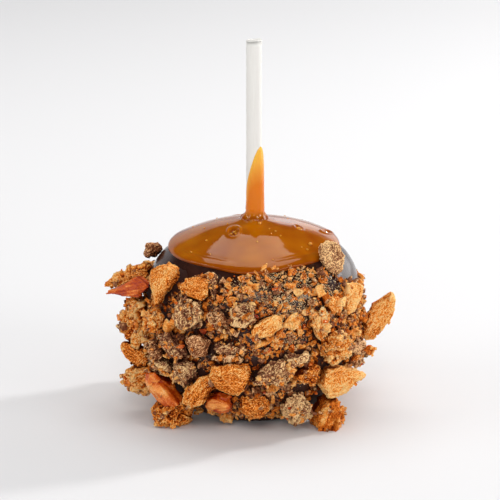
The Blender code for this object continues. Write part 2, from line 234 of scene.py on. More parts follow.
# ---- The coated apple ------------------------------------------------------------------
# A round apple dipped whole in dark chocolate, which sets as a smooth coat of a few
# millimetres and pools in a low foot where the apple was stood to drain.
COAT_RADIUS = 41.5
# The height where it is widest, and how square its upper and lower halves are
COAT_WIDEST = 42.0
COAT_TOP = 71.0
SHOULDER_POWER = 2.55
COAT_DEPTH = 46.5
UNDERSIDE_POWER = 2.3
COAT_SIDES = 200
# The lip of the foot: how far it stands out, its height, and how thick it is
FOOT_LIP = 0.9
LIP_HEIGHT = 1.3
LIP_THICK = 1.2
# The apple isn't a perfect round: times round, share of the radius and turn of each swell,
# and how far and which way its top leans
SWELLS = ((2, 0.010, -0.7), (3, 0.007, 1.2))
LEAN = 0.35
LEAN_TURN = 2.0
# How deep its dips of 15 and of 6 mm are
DIPS = (0.16, 0.05)
CHOCOLATE_DARK = (0.023, 0.0062, 0.0034)
CHOCOLATE_LIT = (0.042, 0.0135, 0.0085)
CHOCOLATE_DULL = (0.036, 0.0085, 0.0040)


def coat_height(radius):
    """Height of the coat's top side at a distance from the axis."""
    inside = np.maximum(0, 1 - (radius / COAT_RADIUS) ** SHOULDER_POWER)
    return COAT_WIDEST + (COAT_TOP - COAT_WIDEST) * inside ** (1 / SHOULDER_POWER)


def coat_radius(height):
    """Distance of the coat's surface from the axis at a height."""
    above = np.clip((height - COAT_WIDEST) / (COAT_TOP - COAT_WIDEST), 0, 1)
    below = np.clip((COAT_WIDEST - height) / COAT_DEPTH, 0, 1)
    upper = (1 - above**SHOULDER_POWER) ** (1 / SHOULDER_POWER)
    lower = (1 - below**UNDERSIDE_POWER) ** (1 / UNDERSIDE_POWER)
    return COAT_RADIUS * np.where(height > COAT_WIDEST, upper, lower)


def smooth(low, high, value):
    """A soft step from 0 at low to 1 at high."""
    part = np.clip((value - low) / (high - low), 0, 1)
    return part * part * (3 - 2 * part)


def uneven(points):
    """Moves points of a turned shape out and up with the apple's swells."""
    turn = turn_of(points)
    away = smooth(8, 30, reach_of(points)) * smooth(0, 12, points[..., 2])
    swell = sum(share * np.cos(times * turn - full) for times, share, full in SWELLS)
    points[..., :2] *= (1 + away * swell)[..., None]
    points[..., 2] += away * LEAN * np.cos(turn - LEAN_TURN)


def number_of(cell, seed):
    """A fixed number from 0 to 1 for each whole-numbered cell."""
    x, y, z = np.moveaxis(cell.astype(np.int64), -1, 0)
    mixed = (x * 73856093) ^ (y * 19349663) ^ (z * 83492791) ^ (seed * 2654435761)
    mixed = (mixed ^ (mixed >> 13)) * 1274126177
    mixed = mixed ^ (mixed >> 16)
    return (mixed & 0xFFFFFF) / 0xFFFFFF


def waves(points, size, seed):
    """Smooth noise from -1 to 1, with waves of that size."""
    place = points / size
    cell = np.floor(place)
    part = place - cell
    ease = part * part * (3 - 2 * part)
    total = 0
    for corner in itertools.product((0, 1), repeat=3):
        share = np.prod(np.where(corner, ease, 1 - ease), axis=-1)
        total = total + share * number_of(cell + corner, seed)
    return 2 * total - 1


def coat_rings():
    """From the middle of the top, over the shoulder and down to the foot."""
    shoulder = np.linspace(0, math.pi / 2, 48)
    radius = COAT_RADIUS * np.sin(shoulder) ** (2 / SHOULDER_POWER)
    height = coat_height(radius)
    side = np.linspace(COAT_WIDEST, 0, 60)[1:]
    lip = FOOT_LIP * bell(side, LIP_HEIGHT, LIP_THICK) * smooth(-0.2, 1.2, side)
    outline = [*zip(radius, height), *zip(coat_radius(side) + lip, side)]
    foot = coat_radius(0.0)
    outline += [(foot * part, 0.0) for part in (0.8, 0.5, 0.2, 0.0)]
    rows = rings_of(np.array(outline), COAT_SIDES)
    dip = DIPS[0] * waves(rows, 15, 3) + DIPS[1] * waves(rows, 6, 4)
    away = smooth(4, 20, reach_of(rows)) * smooth(0, 4, rows[..., 2])
    rows[..., :2] *= (1 + dip * away / COAT_RADIUS)[..., None]
    uneven(rows)
    return rows


chocolate, tree, shader = new_finish("dark_chocolate", Roughness=0.18, Specular_IOR_Level=0.36)
glossy = ramp_node(tree, noise_node(tree, 9, detail=5), ((0.35, CHOCOLATE_DARK), (0.7, CHOCOLATE_LIT)))
dull = mark_node(tree, "dull")
tree.links.new(blend_node(tree, dull, glossy, (*CHOCOLATE_DULL, 1)), shader.inputs["Base Color"])
mottle = ramp_node(tree, noise_node(tree, 3.5, detail=4), ((0.3, (0.14,) * 3), (0.75, (0.24,) * 3)))
rough = math_node(tree, "MULTIPLY_ADD", dull, 0.6, mottle, clamp=True)
tree.links.new(rough, shader.inputs["Roughness"])
bump(tree, shader, noise_node(tree, 1.1, detail=3), 0.05)
coat_points, coat_faces = skin(coat_rings())
coat = add_piece("chocolate_shell", coat_points, coat_faces, chocolate, "chocolate_coat", ["chocolate_coat"])

# ---- The caramel cap -------------------------------------------------------------------
# Hot caramel poured over the top. It sets as a shallow dome with a rounded bead for a rim,
# runs up the stick as a flame-shaped tongue, and keeps a few burst bubbles as dimples.
CAP_TOP = 74.0
CAP_CURVE = 66.0
CAP_EDGE = 30.6
# Towards the front the dome is fuller in the middle and bends down to fall more steeply
FRONT_TOP = 74.9
FRONT_SLOPE = 0.11
FRONT_STEEPER = 0.34
FRONT_FROM = 11.0
FRONT_TO = 19.0
RIM_RADIUS = 33.2
RIM_HEIGHT = 64.2
# At the front the rim has run down a little: how far, and its middle and width in degrees
RIM_RUN = 1.6
RIM_RUN_TURN = -3.0
RIM_RUN_SPREAD = 21.0
RIM_RIPPLE = 0.12
# Above where it has run down, the dome is a little fuller: how much, how far out, how wide
FULLER = (0.28, 19.2, 3.0)
# A groove inside the rim, to both sides of the front: how deep, how far out, how wide
GROOVE = (0.24, 29.5, 0.70)
# The tongue: heights above its foot at the tip and round the back, the degrees round from
# the front where the tip is, how pointed it is, and its thickness there and at the back
TONGUE_FOOT = 76.6
TONGUE_TIP = 26.6
TONGUE_BACK = 6.0
TONGUE_TURN = 55.0
TONGUE_POINT = 2.2
TONGUE_THICK = 0.92
TONGUE_THIN = 0.07
COLLAR_RADIUS = 5.0
CAP_SIDES = 240
# Caramel mirrors a white light a little warm
CARAMEL_SHEEN = (1.0, 0.94, 0.76, 1.0)
# Its painted shade in burst bubbles, under the rim and at the collar's foot, then its colour where it is
# deep, where it is thinner, up the stick, and at the tip
CARAMEL_PAINTED_SHADE = (0.250, 0.040, 0.0012)
CARAMEL_DEEP = (0.262, 0.052, 0.0004)
CARAMEL_AMBER = (0.430, 0.128, 0.0014)
CARAMEL_ORANGE = (0.70, 0.180, 0.003)
CARAMEL_YELLOW = (0.86, 0.47, 0.060)
# Burst bubbles: degrees round from the front, distance from the axis, degrees that their
# long way points round from the front, half width, how much longer, depth, height of the lip
DIMPLES = (
    (-31.2, 14.9, 0, 2.45, 1.75, 1.30, 0.50),
    (75.5, 17.6, 10, 1.90, 1.45, 0.70, 0.28),
    (99.0, 28.6, 150, 1.75, 2.30, 1.30, 0.55),
    (131.0, 27.5, 100, 1.10, 2.20, 0.40, 0.12),
    (-160.0, 19.0, 40, 1.60, 1.30, 0.60, 0.22),
)
# Small bubbles under the skin: degrees round from the front, distance from the axis, radius
BUBBLES = (
    (55.1, 25.9, 0.62), (-52.3, 22.7, 0.36), (-53.0, 29.6, 0.30), (-64.6, 11.2, 0.24), (3.3, 20.8, 0.30),
    (13.5, 30.2, 0.24), (26.6, 13.0, 0.24), (31.7, 15.4, 0.30), (23.2, 16.5, 0.24), (33.0, 18.4, 0.28),
    (45.9, 27.9, 0.34), (43.3, 26.1, 0.26), (16.7, 7.4, 0.50), (-138.0, 21.5, 0.30), (150.0, 24.0, 0.40),
    (178.0, 14.0, 0.28), (-110.0, 25.0, 0.34), (120.0, 15.0, 0.26), (-35.0, 28.6, 0.22), (-84.0, 19.0, 0.25),
)
BUBBLE_SWELL = 1.3
# Froth left in the first burst bubbles: aside and along in half widths, radius in mm
FROTHY_DIMPLES = 3
FROTH = (
    (-0.42, 0.10, 0.50), (0.10, -0.28, 0.42), (0.38, 0.16, 0.46), (-0.08, 0.42, 0.36), (0.30, -0.34, 0.28),
)


def on_cap(degrees, out):
    """The place that many degrees round from the front and that far out from the axis."""
    return out * math.sin(math.radians(degrees)), -out * math.cos(math.radians(degrees))


def dome_height(radius, front):
    """Height of the caramel at a distance from the axis: a dome, drawn up at the stick."""
    drawn_up = 0.85 * np.exp(-(radius - 4) / 2.6)
    if not front:
        return CAP_TOP - radius**2 / (2 * CAP_CURVE) + drawn_up
    part = np.clip((radius - FRONT_FROM) / (FRONT_TO - FRONT_FROM), 0, 1)
    bent = (FRONT_TO - FRONT_FROM) * (part**3 - part**4 / 2) + np.maximum(0, radius - FRONT_TO)
    return FRONT_TOP - FRONT_SLOPE * radius - FRONT_STEEPER * bent + drawn_up


def cap_outline(front):
    """(radius, height) from the tongue's top, down its outside and over the dome's rim."""
    tongue = [(STICK_RADIUS + 1, TONGUE_FOOT + 2 + (TONGUE_TIP - 2) * part) for part in np.linspace(1, 0, 56)]
    collar = []
    for part in np.linspace(0, 1, 16)[1:]:
        flare = (1 - math.cos(part * math.pi / 2)) ** 1.25
        radius = STICK_RADIUS + 1 + (COLLAR_RADIUS - STICK_RADIUS - 1) * flare
        collar.append((radius, TONGUE_FOOT + 2 - 3.2 * part))
    toe = [(COLLAR_RADIUS + 0.16, dome_height(COLLAR_RADIUS, front) + 0.22)]
    radii = np.linspace(COLLAR_RADIUS + 0.12, CAP_EDGE, 76)
    dome = [(radius, dome_height(radius, front)) for radius in radii]
    edge_height = dome_height(CAP_EDGE, front)
    fall = (dome_height(CAP_EDGE - 0.5, front) - edge_height) / 0.5
    start = np.array([CAP_EDGE, edge_height])
    turn_over = np.array([RIM_RADIUS, edge_height - fall * (RIM_RADIUS - CAP_EDGE)])
    end = np.array([RIM_RADIUS, RIM_HEIGHT])
    roll = []
    for part in np.linspace(0, 1, 26)[1:]:
        roll.append(tuple(start * (1 - part) ** 2 + turn_over * 2 * part * (1 - part) + end * part**2))
    under = []
    for angle in np.linspace(0, 0.5 * math.pi, 8)[1:]:
        under.append((RIM_RADIUS - 0.8 * (1 - math.cos(angle)), RIM_HEIGHT - 0.9 * math.sin(angle)))
    return np.array(tongue + collar + toe + dome + roll + under)


def taken_from(form):
    """The points and the faces of a bmesh, which is then freed."""
    points = np.array([vert.co for vert in form.verts])
    faces = np.array([[vert.index for vert in face.verts] for face in form.faces])
    form.free()
    return points, faces


def shape_tongue(rows, turn):
    """Makes the tongue thick under its tip, and no more than a film round the back."""
    reach = reach_of(rows)
    away = np.abs((np.degrees(turn) - TONGUE_TURN + 180) % 360 - 180)
    near = 1 - (away / 180) ** 2
    top = TONGUE_BACK + (TONGUE_TIP - TONGUE_BACK) * near**TONGUE_POINT
    top = top + 0.35 * np.sin(5 * turn) * (1 - near)
    foot = TONGUE_FOOT + 2
    up = np.clip((rows[..., 2] - foot) / (TONGUE_TIP - 2), 0, 1)
    on_tongue = rows[..., 2] >= foot
    height = foot + up * (top - 2)
    thick = TONGUE_THIN + (TONGUE_THICK - TONGUE_THIN) * smooth(0.30, 1.0, near)
    thick = thick + 0.10 * smooth(0.55, 0.0, up)
    closing = np.sqrt(np.clip(1 - up**7, 0, 1))
    radius = STICK_RADIUS - 0.06 + (thick + 0.06) * closing
    drawn = smooth(TONGUE_FOOT + 6, TONGUE_FOOT - 1, height) * 0.12
    in_collar = smooth(COLLAR_RADIUS, STICK_RADIUS + 1, reach)
    at_foot = STICK_RADIUS + thick
    scallop = 0.30 * np.cos(7 * turn + 0.8) + 0.18 * np.cos(4 * turn)
    collar_radius = reach + (at_foot - STICK_RADIUS - 1) * in_collar
    round_collar = smooth(STICK_RADIUS + 1, COLLAR_RADIUS, reach) * smooth(9, 5.4, reach)
    collar_radius = collar_radius + scallop * round_collar
    new_reach = np.where(on_tongue, radius + drawn, collar_radius)
    rows[..., :2] *= (new_reach / reach)[..., None]
    rows[..., 2] = np.where(on_tongue, height, rows[..., 2])


def shape_dome(rows, turn):
    """Gives the dome its slow dips, the groove, the burst bubbles, and the rim that has run
    down. The result is how far in a burst bubble each point lies, from 0 to 1."""
    reach = reach_of(rows)
    on_dome = smooth(6, 9, reach)
    flat = rows * (1, 1, 0)
    rows[..., 2] += on_dome * (0.13 * waves(flat, 13, 7) + 0.03 * waves(flat, 5, 8))
    deep, out, wide = GROOVE
    beside_front = smooth(8, 20, np.abs(np.degrees(turn) + 2)) * smooth(80, 50, np.abs(np.degrees(turn)))
    rows[..., 2] -= deep * beside_front * bell(reach, out, wide)
    fuller, out, wide = FULLER
    beside = (np.degrees(turn) - RIM_RUN_TURN) / RIM_RUN_SPREAD
    rows[..., 2] += fuller * np.exp(-(((reach - out) / wide) ** 2) - beside**2)
    burst = np.zeros(rows.shape[:2])
    for at, out, long_turn, half, longer, deep, lip in DIMPLES:
        long_turn = math.radians(long_turn)
        middle = on_cap(at, out)
        x = rows[..., 0] - middle[0]
        y = rows[..., 1] - middle[1]
        aside = (x * math.cos(long_turn) + y * math.sin(long_turn)) / half
        along = (x * math.sin(long_turn) - y * math.cos(long_turn)) / (half * longer)
        gap = np.hypot(aside, along)
        rows[..., 2] += on_dome * lip * bell(gap, 0.95, 0.20)
        rows[..., 2] -= on_dome * deep * np.exp(-((gap / 0.66) ** 4))
        burst = np.maximum(burst, on_dome * np.exp(-((gap / 0.72) ** 4)))
    run = RIM_RIPPLE * np.sin(5 * turn) + RIM_RUN * np.exp(-(beside**2))
    further = reach + run * smooth(20, RIM_RADIUS, reach)
    rows[..., 2] += coat_height(further) - coat_height(reach)
    rows[..., :2] *= (further / reach)[..., None]
    return burst


def cap_rings():
    """The cap's rings, closed underneath inside the coat and the stick, and its marks: how far
    up the tongue each point is, how deep the caramel is there, and how much painted shade it has in burst
    bubbles, under the rim and at the collar's foot."""
    rows = rings_of(cap_outline(front=False), CAP_SIDES)
    front_rows = rings_of(cap_outline(front=True), CAP_SIDES)
    turn = turn_of(rows)
    rows += (front_rows - rows) * smooth(115, 55, np.abs(np.degrees(turn)))[..., None]
    shape_tongue(rows, turn)
    burst = shape_dome(rows, turn)
    uneven(rows)
    last = rows[-1].copy()
    sunk = last * (0.9, 0.9, 1) - (0, 0, 2)
    core = last * (0.03, 0.03, 1) - (0, 0, 4)
    inside = rows[0] * (0.6, 0.6, 1)
    rows = np.concatenate([inside[None], rows, sunk[None], core[None]])
    film = np.clip((reach_of(rows) - STICK_RADIUS) / TONGUE_THICK, 0, 1)
    above = smooth(TONGUE_FOOT - 1.0, TONGUE_FOOT + 2.5, rows[..., 2])
    tip = smooth(TONGUE_FOOT + 2, TONGUE_FOOT + TONGUE_TIP, rows[..., 2])
    # Painted shade: in the burst bubbles, on the rim's lower side and at the foot of the collar
    shaded = np.zeros(rows.shape[:2])
    shaded[1:-2] = burst
    shaded = np.maximum(shaded, 0.75 * smooth(65.4, 63.4, rows[..., 2]))
    shaded = np.maximum(shaded, 0.8 * bell(reach_of(rows), COLLAR_RADIUS, 0.4))
    return rows, above, np.clip(film * (1 - 0.75 * tip), 0, 1), shaded


caramel, tree, shader = new_finish(
    "caramel",
    Roughness=0.06,
    IOR=1.48,
    Specular_IOR_Level=0.36,
    Specular_Tint=CARAMEL_SHEEN,
    Subsurface_Weight=0.2,
    Subsurface_Radius=(1.0, 0.32, 0.06),
    Subsurface_Scale=1.6 * MM,
)
flow = noise_node(tree, 16, detail=2)
pool = ramp_node(tree, flow, ((0.3, CARAMEL_DEEP), (0.7, CARAMEL_AMBER)))
by_depth = ((0.0, CARAMEL_YELLOW), (0.14, CARAMEL_YELLOW), (0.72, CARAMEL_ORANGE))
drawn_up = ramp_node(tree, mark_node(tree, "depth"), by_depth)
clear = blend_node(tree, mark_node(tree, "above"), pool, drawn_up)
# Painted shade darkens the caramel where the shaded mark is set
painted_shade = blend_node(tree, mark_node(tree, "shaded"), clear, (*CARAMEL_PAINTED_SHADE, 1))
tree.links.new(painted_shade, shader.inputs["Base Color"])
bump(tree, shader, noise_node(tree, 2.6, detail=2), 0.02)
cap_rows, above_marks, depth_marks, shaded_marks = cap_rings()
cap_points, cap_faces = skin(cap_rows)
marks = {"above": above_marks.ravel(), "depth": depth_marks.ravel(), "shaded": shaded_marks.ravel()}
add_piece("caramel_pour", cap_points, cap_faces, caramel, "caramel", ["caramel_cap"], **marks)

# Bubbles stand half out of the skin, and fill the burst ones as froth
cap_tree = BVHTree.FromPolygons(cap_points.tolist(), cap_faces.tolist())
spots = [(*on_cap(at, out), size) for at, out, size in BUBBLES]
for at, out, long_turn, half, longer, _, _ in DIMPLES[:FROTHY_DIMPLES]:
    long_turn = math.radians(long_turn)
    x, y = on_cap(at, out)
    for aside, along, size in FROTH:
        right = aside * math.cos(long_turn) + longer * along * math.sin(long_turn)
        back = aside * math.sin(long_turn) - longer * along * math.cos(long_turn)
        spots.append((x + half * right, y + half * back, size))
ball = bmesh.new()
bmesh.ops.create_icosphere(ball, subdivisions=3, radius=1.0)
ball_points, ball_faces = taken_from(ball)
points, faces = [], []
for x, y, size in spots:
    top = cap_tree.ray_cast(Vector((x, y, CAP_TOP + 16)), Vector((0, 0, -1)))[0]
    faces.append(ball_faces + len(ball_points) * len(points))
    rise = 0.3 if y < 2 else -0.35
    points.append(ball_points * BUBBLE_SWELL * size * (1, 1, 0.8) + (x, y, top.z + rise * size))
points = np.concatenate(points)
# The bubbles are paler, partly as thin caramel over air and partly as painted highlight for their glints
marks = {"above": np.full(len(points), 0.6), "depth": np.full(len(points), 0.3)}
add_piece("caramel_bubbles", points, np.concatenate(faces), caramel, "caramel", **marks)

# ---- The candy pieces ------------------------------------------------------------------
# The coat is still soft when the apple is rolled in broken candy: slabs of orange brittle,
# shards with glassy orange faces, lumps caked in crumb, and bits of milk chocolate.

# The size of the faces on pieces at the front, and on those at the back
PIECE_GRID = 0.41
BACK_GRID = 0.50
# The size of the grains in a piece's shape, on bits, and in the finish
GRAIN_SIZE = 0.9
BIT_GRAIN_SIZE = 0.7
FINE_GRAIN_SIZE = 0.75
# Each kind's shades, from the darkest to the palest grain. The darkest is also painted into pits and crowded
# gaps as shade
CANDY_COLOURS = {
    "brittle": ((0.085, 0.010, 0.001), (0.50, 0.088, 0.005), (0.90, 0.275, 0.034), (1.0, 0.56, 0.17)),
    "glazed": ((0.080, 0.004, 0.0005), (0.38, 0.026, 0.001), (0.70, 0.120, 0.006), (1.0, 0.40, 0.08)),
    "dusted": ((0.036, 0.009, 0.004), (0.190, 0.062, 0.032), (0.350, 0.146, 0.070), (0.95, 0.57, 0.24)),
    "chocolate": ((0.018, 0.005, 0.002), (0.135, 0.036, 0.012), (0.310, 0.102, 0.036), (0.92, 0.50, 0.22)),
    "dust": ((0.20, 0.10, 0.035), (0.80, 0.47, 0.18), (1.0, 0.70, 0.33), (1.0, 0.84, 0.54)),
}
# How pale, from 0 to 1, a grain of each of those colours is, and what the very palest grains
# are tinged with and by how much
SHADE_STOPS = {"dusted": (0.0, 0.18, 0.66, 0.94), "dust": (0.0, 0.16, 0.46, 0.80)}
OTHER_STOPS = (0.0, 0.22, 0.58, 0.90)
SUGAR_WHITE = (1.0, 0.88, 0.55)
SUGAR_SHARE = 0.22
CANDY_ROUGHNESS = {"brittle": 0.60, "glazed": 0.16, "dusted": 0.70, "chocolate": 0.50, "dust": 0.7}
CANDY_GLOSS = {"brittle": 0.06, "glazed": 0.42, "dusted": 0.03, "chocolate": 0.10, "dust": 0.03}
# How each kind breaks: how deep pieces are chipped, how large the flat breaks are, how much
# they tip and step, how deep grains and specks are, and how much longer the relief is along
# the piece
CANDY_BREAK = {
    "brittle": (1.4, 3.4, 0.50, 0.66, 0.18, 0.09, 1.5),
    "glazed": (1.0, 4.6, 0.44, 0.24, 0.03, 0.015, 2.0),
    "dusted": (1.2, 3.1, 0.50, 0.55, 0.26, 0.10, 1.2),
    "chocolate": (1.2, 4.0, 0.46, 0.40, 0.14, 0.06, 1.1),
}
# Pulled candy shows threads along each piece: their width, how much longer they are, and how
# much they show in relief and in colour
THREAD = 0.85
THREAD_LONG = 6.0
THREAD_RELIEF = 0.15
THREAD_TONE = 0.20
# Broken sides show layers: how thick and how deep they are
LAYER = 1.15
LAYER_DEPTH = 0.26
# What a piece gains before its breaks are cut into it, so that it keeps its size. A piece
# with clean faces shrinks a little instead
SWELL = 0.24
CLEAN_SWELL = -0.12
# The tone of a piece before its grains, specks and edges, and how dark the painted shade in each kind's pits
# is
BASE_TONE = 0.495
PIT_PAINTED_SHADE = {"brittle": 0.65, "glazed": 0.65, "dusted": 0.35, "chocolate": 0.65}
# How much of the colour is from the grain, the specks, and slow change over the piece
CANDY_MOTTLE = {
    "brittle": (0.20, 0.20, 0.22),
    "glazed": (0.06, 0.05, 0.45),
    "dusted": (0.24, 0.24, 0.26),
    "chocolate": (0.24, 0.22, 0.18),
    "dust": (0.30, 0.20, 0.0),
}
# How strongly the fine grain in each kind's finish shows: in colour from grain to grain, in
# the painted shade and the relief between the grains, and in colour within a grain
FINE_GRAIN = {
    "brittle": (0.22, 0.32, 1.5),
    "glazed": (0.08, 0.06, 0.6),
    "dusted": (0.42, 0.20, 0.85),
    "chocolate": (0.30, 0.40, 1.6),
    "dust": (0.2, 0.1, 0.9),
}
# Painted highlight: how much paler candy is along its raised edges and points, which also paints shade into
# its hollows
EDGE_PAINTED_LIGHT = {"brittle": 1.3, "glazed": 0.455, "dusted": 1.3, "chocolate": 1.3}
# Painted shade: how much darker candy is where other candy crowds round it, and paler where it stands clear
CROWDED_PAINTED_SHADE = 0.55
# Pieces that are crumbly right through, and how much rougher they are
CRUMBLY_PIECES = ("left_crumb_mass", "right_foot")
CRUMBLY = 1.5
# Pieces with clean broken faces: how much of the others' roughness, chips and grain they have
CLEAN = 0.36
CLEAN_CHIPS = 0.35
CLEAN_GRAIN = 0.5
CLEAN_PIECES = (
    "left_cone", "left_wedge", "left_sliver", "right_long_slab", "right_fin", "right_fan", "front_crescent",
    "front_fan", "left_star", "left_edge_shard", "right_crisp", "front_heel", "left_cube", "rim_boulder",
    "shoulder_knob", "front_bud", "left_block",
)
# Lumps with so many broken faces or so much crumb that they look like brittle
FINISH_LIKE = {"right_foot": "brittle", "left_shelf": "brittle", "front_heel": "brittle"}
# Pieces that are paler or darker than others of their kind
PIECE_TONES = {
    "right_fan": 0.16, "right_fin": 0.13, "front_crescent": 0.08, "rim_boulder": 0.08,
    "shoulder_knob": -0.16, "front_ball": 0.28, "right_nut": 0.14, "left_foot": -0.34,
    "front_triangle": -0.47, "left_splinter": -0.32, "right_foot": -0.20, "front_fan": -0.24,
    "left_shelf": -0.10, "front_rib": 0.14, "left_knuckle": 0.10, "left_wedge": -0.32,
    "front_brown_lump": 0.20, "right_column": 0.18, "left_crumb_mass": 0.02, "right_cluster": 0.06,
    "left_star": -0.12, "left_slab": -0.26, "left_olive_lump": 0.03, "front_ledge": 0.06,
    "left_ledge": 0.04, "left_grey_lump": 0.03, "left_block": -0.18, "left_edge_shard": -0.22,
    "left_nib": -0.22, "left_cone": -0.06, "front_fibre": -0.12, "front_flake": -0.10,
    "front_strip": -0.12, "front_heel": -0.28, "front_bud": -0.10, "right_crisp": -0.06,
    "left_cube": -0.10,
}


def grains(points, size, seed):
    """Cells like packed grains: the distance to each point's grain middle in grain sizes, that
    grain's own number from 0 to 1, and how far a flat face tipped through it rises there."""
    place = points / size
    cell = np.floor(place)
    nearest = np.full(len(points), 9.0)
    home = cell.copy()
    away = np.zeros(points.shape)
    for offset in itertools.product((-1, 0, 1), repeat=3):
        other = cell + offset
        middle = other + np.stack([number_of(other, seed + axis) for axis in range(3)], axis=-1)
        gap = np.linalg.norm(place - middle, axis=-1)
        closer = gap < nearest
        nearest = np.where(closer, gap, nearest)
        home[closer] = other[closer]
        away[closer] = (place - middle)[closer]
    tip = np.stack([number_of(home, seed + 4 + axis) - 0.5 for axis in range(3)], axis=-1)
    return nearest, number_of(home, seed + 3), 2 * size * (away * tip).sum(axis=-1)


def candy_finish(kind, clean=False):
    """Each grain has its own shade, and painted shade darkens the pits between them and the marked pits."""
    dark, low, main, pale = CANDY_COLOURS[kind]
    by_cell, crevice, by_noise = np.array(FINE_GRAIN[kind]) * (CLEAN_GRAIN if clean else 1)
    name = "candy_" + kind + ("_clean" if clean else "")
    finish, tree, shader = new_finish(name, Specular_IOR_Level=CANDY_GLOSS[kind])
    fine = noise_node(tree, 0.5, detail=3, roughness=0.75)
    place = add_node(tree, "TexCoord").outputs["Object"]
    cells = add_node(tree, "TexVoronoi", {"Vector": place, "Scale": 1 / (FINE_GRAIN_SIZE * MM)})
    number = add_node(tree, "SeparateColor", {"Color": cells.outputs["Color"]}).outputs["Red"]
    spread = math_node(tree, "MULTIPLY_ADD", fine, by_noise, -(by_noise + by_cell) / 2)
    grain = math_node(tree, "MULTIPLY_ADD", number, by_cell, spread)
    shade = math_node(tree, "ADD", mark_node(tree, "tone"), grain, clamp=True)
    palest = (1 - SUGAR_SHARE) * np.array(pale) + SUGAR_SHARE * np.array(SUGAR_WHITE)
    shades = zip((*SHADE_STOPS.get(kind, OTHER_STOPS), 1.0), (dark, low, main, pale, palest))
    colour = ramp_node(tree, shade, tuple(shades))
    # Painted shade: the dark between the grains and the marked pits blend the colour to the darkest shade
    far = cells.outputs["Distance"]
    gap = {"Value": far, "From Min": 0.42, "From Max": 0.80, "To Max": crevice}
    between = add_node(tree, "MapRange", gap).outputs[0]
    pits_and_gaps_shade = math_node(tree, "MAXIMUM", mark_node(tree, "pit"), between, clamp=True)
    tree.links.new(blend_node(tree, pits_and_gaps_shade, colour, (*dark, 1)), shader.inputs["Base Color"])
    rough = CANDY_ROUGHNESS[kind]
    sheen = ramp_node(tree, fine, ((0.35, (rough * 0.75,) * 3), (0.7, (min(1, rough * 1.25),) * 3)))
    tree.links.new(sheen, shader.inputs["Roughness"])
    bump(tree, shader, math_node(tree, "MULTIPLY_ADD", far, -crevice, fine), 0.36)
    return finish


def bulge(points, normals, faces):
    """How far each point stands out of the points next to it, in steps of the grid."""
    ends = np.concatenate([faces[:, [side, (side + 1) % 4]] for side in range(4)])
    ends = np.concatenate([ends, ends[:, ::-1]])
    count = np.bincount(ends[:, 0], minlength=len(points))
    beside = [np.bincount(ends[:, 0], points[ends[:, 1], axis], len(points)) / count for axis in range(3)]
    return ((points - np.stack(beside, axis=-1)) * normals).sum(axis=-1) / PIECE_GRID


def work_surface(points, normals, faces, kind, seed, rougher, chip_share):
    """Points of a piece with its broken surface, their tone marks, which carry painted highlight on raised
    points and painted shade in hollows, and their marks of painted shade in the pits between the grains. It
    has flat breaks that tip and step, and its edges show the layers that the candy was pulled in."""
    chips, broad, tipped, stepped, grit, specks, longer = CANDY_BREAK[kind]
    by_grain, by_speck, by_place = CANDY_MOTTLE[kind]
    draw = np.random.default_rng(seed)
    middle = points.mean(axis=0)
    along, _, through = np.linalg.svd(points - middle, full_matrices=False)[2]
    thickness = np.ptp(points @ through)
    points = points + (CLEAN_SWELL if chip_share < 1 else SWELL) * normals
    drawn = points - np.outer(points @ along, along) * (1 - 1 / longer)
    _, broad_number, broad_tip = grains(drawn, broad, seed + 1)
    _, small_number, small_tip = grains(drawn, broad / 2.3, seed + 2)
    far, number, _ = grains(drawn, GRAIN_SIZE, seed + 3)
    speck = draw.normal(size=len(points)).clip(-2, 2)
    chipped = smooth(0.10, 0.26, waves(drawn, 5.0, seed + 4))
    on_side = smooth(0.25, 0.75, 1 - np.abs(normals @ through))
    layer = (points @ through / LAYER + 0.35 * waves(points, 3.0, seed + 5)) % 1.0
    layers_show = on_side * (0.5 - layer)
    threads = waves(points - np.outer(points @ along, along) * (1 - 1 / THREAD_LONG), THREAD, seed + 6)
    threads = threads * (kind in ("brittle", "glazed"))
    fall = chip_share * min(chips, 0.24 * thickness) * chipped
    breaks = tipped * (broad_tip + 0.5 * small_tip) + stepped * (broad_number + 0.5 * small_number - 0.75)
    shift = rougher * breaks + (0.4 + 0.6 * rougher) * grit * (0.5 - far) + specks * speck - fall
    shift += LAYER_DEPTH * layers_show + THREAD_RELIEF * threads
    tone = BASE_TONE + by_grain * (number - 0.5) + 0.5 * by_speck * speck
    tone += by_place * (0.6 * waves(points, 3.8, seed + 9) + 0.5 * (small_number + broad_number) - 0.5)
    tone += 0.14 * layers_show + THREAD_TONE * threads - 0.12 * chipped
    # Painted shade in the pits between the grains
    pit = PIT_PAINTED_SHADE[kind] * smooth(0.75, 1.0, far) * min(1.0, rougher)
    points = points + normals * shift[:, None]
    # Painted highlight on raised points and edges, painted shade in hollows
    return points, tone + EDGE_PAINTED_LIGHT[kind] * bulge(points, normals, faces).clip(-0.14, 0.35), pit


def gridded(node, size):
    """A CAD piece's shape as an even grid of points, with their normals and the faces."""
    draft = bpy.data.objects.new("draft", frame["nodes"][node].data.copy())
    show(draft)
    remesh = draft.modifiers.new("even grid", "REMESH")
    remesh.mode = "VOXEL"
    remesh.voxel_size = size * MM
    graph = bpy.context.evaluated_depsgraph_get()
    mesh = draft.evaluated_get(graph).to_mesh()
    points = np.empty(len(mesh.vertices) * 3, np.float32)
    normals = np.empty(len(mesh.vertices) * 3, np.float32)
    faces = np.empty(len(mesh.loops), np.int32)
    mesh.vertices.foreach_get("co", points)
    mesh.vertices.foreach_get("normal", normals)
    mesh.loops.foreach_get("vertex_index", faces)
    bpy.data.objects.remove(draft)
    return points.reshape(-1, 3) / MM, normals.reshape(-1, 3), faces.reshape(-1, 4)


# No candy reaches lower than this
OFF_TABLE = 0.02
